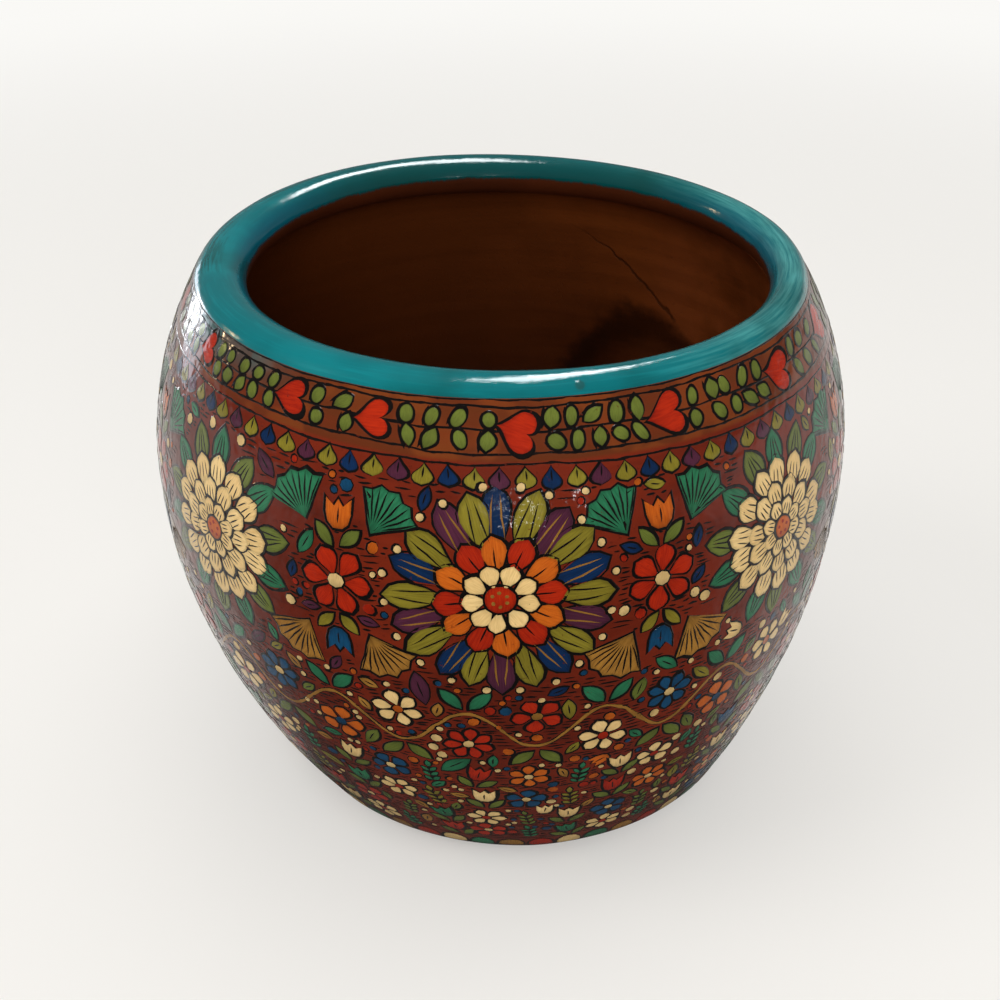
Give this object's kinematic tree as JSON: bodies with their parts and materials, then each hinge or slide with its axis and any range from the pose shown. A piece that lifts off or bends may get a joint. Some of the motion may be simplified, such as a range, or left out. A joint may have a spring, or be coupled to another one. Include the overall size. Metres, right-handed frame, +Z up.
{
  "type": "pottery planter",
  "caption": "Globular hand-built clay planter with a thick rolled rim, a wide belly, a rounded heel on a flat foot and a drain hole.",
  "frame": {"origin": "middle of the flat foot, at the height of the surface that the pot stands on", "axes": "+Z up along the pot's axis of revolution, -Y towards the side seen in the picture, +X to that view's right"},
  "size_m": [0.261, 0.261, 0.21],
  "materials": {
    "bare_clay": "matte",
    "painted_clay": "gloss varnish over paint",
    "rim_enamel": "gloss",
    "outline_black": "gloss varnish over paint",
    "red_paint": "gloss varnish over paint",
    "orange_paint": "gloss varnish over paint",
    "ochre_paint": "gloss varnish over paint",
    "cream_paint": "gloss varnish over paint",
    "leaf_green_paint": "gloss varnish over paint",
    "olive_paint": "gloss varnish over paint",
    "teal_paint": "gloss varnish over paint",
    "blue_paint": "gloss varnish over paint",
    "navy_paint": "gloss varnish over paint",
    "purple_paint": "gloss varnish over paint"
  },
  "bodies": {
    "root": {"base_slab": "bare_clay", "lower_bowl": "painted_clay", "lower_belly_coil": "painted_clay", "belly_coil": "painted_clay", "upper_belly_coil": "painted_clay", "shoulder_coil": "painted_clay", "neck_coil": "painted_clay", "rim_coil": "rim_enamel"}
  },
  "joints": []
}
